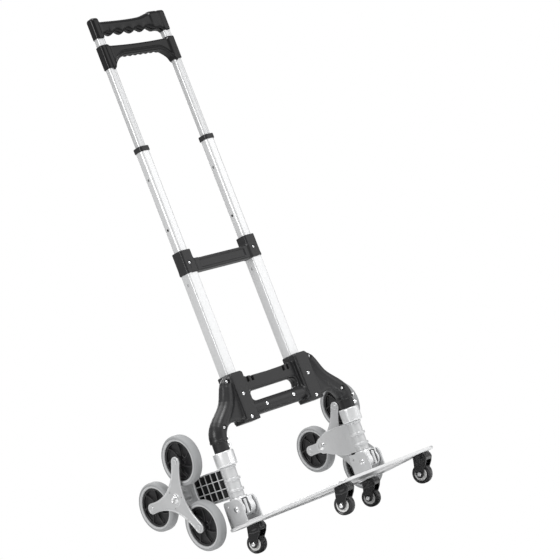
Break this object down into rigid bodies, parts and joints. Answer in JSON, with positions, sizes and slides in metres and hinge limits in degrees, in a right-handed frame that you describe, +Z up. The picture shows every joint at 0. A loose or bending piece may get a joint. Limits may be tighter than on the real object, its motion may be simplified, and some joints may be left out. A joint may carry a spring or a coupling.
{
  "type": "stair climbing trolley",
  "caption": "Folding stair climbing trolley: telescopic twin-leg handle, black bracket with hand slot, three-wheel stair sets, folding toe plate on swivel casters.",
  "frame": {"origin": "centre of the bounding box at floor level, under the standing trolley", "axes": "+Z up from the floor; the toe plate points to -Y and the stair wheels are at +Y; +X is the trolley's right as seen from the toe plate looking to +Y"},
  "size_m": [0.513, 0.469, 1.1347],
  "materials": {
    "black_plastic": "fine moulded texture, charcoal black",
    "grip_plastic": "satin moulded black",
    "aluminium_tube": "satin anodised, drawn along its length",
    "cast_metal": "silver-grey coated casting",
    "chrome_steel": "bright plated",
    "stair_tyre": "grey rubber, matt",
    "stair_rim": "black moulded",
    "plate_steel": "silver coated sheet",
    "caster_tyre": "black rubber",
    "caster_core": "white moulded"
  },
  "bodies": {
    "frame": {"base_bracket_front": "black_plastic", "base_bracket_rear": "black_plastic", "outer_tube_left": "aluminium_tube", "outer_tube_right": "aluminium_tube", "middle_collar": "black_plastic", "post_left": "cast_metal", "post_right": "cast_metal", "post_collar_left": "chrome_steel", "post_collar_right": "chrome_steel"},
    "mid_stage": {"mid_tube_left": "aluminium_tube", "mid_tube_right": "aluminium_tube", "mid_bushing_left": "black_plastic", "mid_bushing_right": "black_plastic"},
    "handle_stage": {"inner_tube_left": "aluminium_tube", "inner_tube_right": "aluminium_tube", "top_handle": "grip_plastic"},
    "release_yoke": {"release_yoke": "grip_plastic"},
    "toe_plate": {"toe_plate": "plate_steel", "hinge_bracket_left": "cast_metal", "hinge_bracket_right": "cast_metal", "hinge_pin_left": "chrome_steel", "hinge_pin_right": "chrome_steel", "caster_mount_rear_left": "chrome_steel", "caster_mount_rear_right": "chrome_steel", "caster_mount_front_left": "chrome_steel", "caster_mount_front_right": "chrome_steel"},
    "lock_button_left": {"lock_button_left": "chrome_steel"},
    "swing_left": {"swing_bracket_left": "cast_metal", "hub_axle_left": "chrome_steel"},
    "stair_set_left": {"spider_outer_left": "cast_metal", "spider_inner_left": "cast_metal"},
    "wheel_top_left": {"tyre_top_left": "stair_tyre", "rim_top_left": "stair_rim"},
    "wheel_rear_left": {"tyre_rear_left": "stair_tyre", "rim_rear_left": "stair_rim"},
    "wheel_low_left": {"tyre_low_left": "stair_tyre", "rim_low_left": "stair_rim"},
    "lock_button_right": {"lock_button_right": "chrome_steel"},
    "swing_right": {"swing_bracket_right": "cast_metal", "hub_axle_right": "chrome_steel"},
    "stair_set_right": {"spider_outer_right": "cast_metal", "spider_inner_right": "cast_metal"},
    "wheel_top_right": {"tyre_top_right": "stair_tyre", "rim_top_right": "stair_rim"},
    "wheel_rear_right": {"tyre_rear_right": "stair_tyre", "rim_rear_right": "stair_rim"},
    "wheel_low_right": {"tyre_low_right": "stair_tyre", "rim_low_right": "stair_rim"},
    "caster_rear_left": {"caster_fork_rear_left": "grip_plastic"},
    "caster_wheel_rear_left": {"caster_tyre_rear_left": "caster_tyre", "caster_core_rear_left": "caster_core"},
    "caster_rear_right": {"caster_fork_rear_right": "grip_plastic"},
    "caster_wheel_rear_right": {"caster_tyre_rear_right": "caster_tyre", "caster_core_rear_right": "caster_core"},
    "caster_front_left": {"caster_fork_front_left": "grip_plastic"},
    "caster_wheel_front_left": {"caster_tyre_front_left": "caster_tyre", "caster_core_front_left": "caster_core"},
    "caster_front_right": {"caster_fork_front_right": "grip_plastic"},
    "caster_wheel_front_right": {"caster_tyre_front_right": "caster_tyre", "caster_core_front_right": "caster_core"}
  },
  "joints": [
    {"name": "mid_slide", "type": "slide", "parent": "frame", "child": "mid_stage", "axis": [0, -0.0448, 0.999], "range_m": [-0.21, 0]},
    {"name": "handle_slide", "type": "slide", "parent": "mid_stage", "child": "handle_stage", "axis": [0, -0.0448, 0.999], "range_m": [-0.165, 0]},
    {"name": "yoke_squeeze", "type": "slide", "parent": "handle_stage", "child": "release_yoke", "axis": [0, -0.0448, 0.999], "range_m": [0, 0.01], "stiffness_N_per_m": 500, "springref_m": -0.01},
    {"name": "toe_plate_fold", "type": "hinge", "parent": "frame", "child": "toe_plate", "pos_m": [0, -0.00147, 0.09401], "axis": [-1, 0, 0], "range_deg": [0, 84]},
    {"name": "lock_button_left_press", "type": "slide", "parent": "mid_stage", "child": "lock_button_left", "axis": [1, 0, 0], "range_m": [0, 0.0025], "stiffness_N_per_m": 300, "springref_m": -0.002},
    {"name": "swing_fold_left", "type": "hinge", "parent": "frame", "child": "swing_left", "pos_m": [-0.1845, 0.00001, 0.15271], "axis": [0, 0.0941, -0.9956], "range_deg": [0, 55.1]},
    {"name": "stair_set_left_turn", "type": "hinge", "parent": "swing_left", "child": "stair_set_left", "pos_m": [-0.2326, 0.10515, 0.16144], "axis": [1, 0, 0], "continuous": true},
    {"name": "wheel_top_left_spin", "type": "hinge", "parent": "stair_set_left", "child": "wheel_top_left", "pos_m": [-0.2326, 0.06211, 0.22721], "axis": [1, 0, 0], "continuous": true},
    {"name": "wheel_rear_left_spin", "type": "hinge", "parent": "stair_set_left", "child": "wheel_rear_left", "pos_m": [-0.2326, 0.18363, 0.16583], "axis": [1, 0, 0], "continuous": true},
    {"name": "wheel_low_left_spin", "type": "hinge", "parent": "stair_set_left", "child": "wheel_low_left", "pos_m": [-0.2326, 0.06971, 0.09128], "axis": [1, 0, 0], "continuous": true},
    {"name": "lock_button_right_press", "type": "slide", "parent": "mid_stage", "child": "lock_button_right", "axis": [1, 0, 0], "range_m": [0, 0.0025], "stiffness_N_per_m": 300, "springref_m": -0.002},
    {"name": "swing_fold_right", "type": "hinge", "parent": "frame", "child": "swing_right", "pos_m": [0.1845, 0.00001, 0.15271], "axis": [0, -0.0941, 0.9956], "range_deg": [0, 55.1]},
    {"name": "stair_set_right_turn", "type": "hinge", "parent": "swing_right", "child": "stair_set_right", "pos_m": [0.2326, 0.10515, 0.16144], "axis": [1, 0, 0], "continuous": true},
    {"name": "wheel_top_right_spin", "type": "hinge", "parent": "stair_set_right", "child": "wheel_top_right", "pos_m": [0.2326, 0.06211, 0.22721], "axis": [1, 0, 0], "continuous": true},
    {"name": "wheel_rear_right_spin", "type": "hinge", "parent": "stair_set_right", "child": "wheel_rear_right", "pos_m": [0.2326, 0.18363, 0.16583], "axis": [1, 0, 0], "continuous": true},
    {"name": "wheel_low_right_spin", "type": "hinge", "parent": "stair_set_right", "child": "wheel_low_right", "pos_m": [0.2326, 0.06971, 0.09128], "axis": [1, 0, 0], "continuous": true},
    {"name": "caster_rear_left_swivel", "type": "hinge", "parent": "toe_plate", "child": "caster_rear_left", "pos_m": [-0.1698, 0.00283, 0.05], "axis": [0, 0, 1], "continuous": true},
    {"name": "caster_rear_left_roll", "type": "hinge", "parent": "caster_rear_left", "child": "caster_wheel_rear_left", "pos_m": [-0.17367, 0.01681, 0.02], "axis": [0.9636, 0.2672, 0], "continuous": true},
    {"name": "caster_rear_right_swivel", "type": "hinge", "parent": "toe_plate", "child": "caster_rear_right", "pos_m": [0.1698, 0.00283, 0.05], "axis": [0, 0, 1], "continuous": true},
    {"name": "caster_rear_right_roll", "type": "hinge", "parent": "caster_rear_right", "child": "caster_wheel_rear_right", "pos_m": [0.16592, 0.01681, 0.02], "axis": [0.9636, 0.2672, 0], "continuous": true},
    {"name": "caster_front_left_swivel", "type": "hinge", "parent": "toe_plate", "child": "caster_front_left", "pos_m": [-0.1156, -0.21127, 0.05], "axis": [0, 0, 1], "continuous": true},
    {"name": "caster_front_left_roll", "type": "hinge", "parent": "caster_front_left", "child": "caster_wheel_front_left", "pos_m": [-0.11947, -0.19729, 0.02], "axis": [0.9636, 0.2672, 0], "continuous": true},
    {"name": "caster_front_right_swivel", "type": "hinge", "parent": "toe_plate", "child": "caster_front_right", "pos_m": [0.1156, -0.21127, 0.05], "axis": [0, 0, 1], "continuous": true},
    {"name": "caster_front_right_roll", "type": "hinge", "parent": "caster_front_right", "child": "caster_wheel_front_right", "pos_m": [0.11173, -0.19729, 0.02], "axis": [0.9636, 0.2672, 0], "continuous": true}
  ],
  "couplings": [
    {"joint": "swing_fold_left", "follows": "toe_plate_fold", "ratio": 0.65476},
    {"joint": "swing_fold_right", "follows": "toe_plate_fold", "ratio": 0.65476}
  ]
}
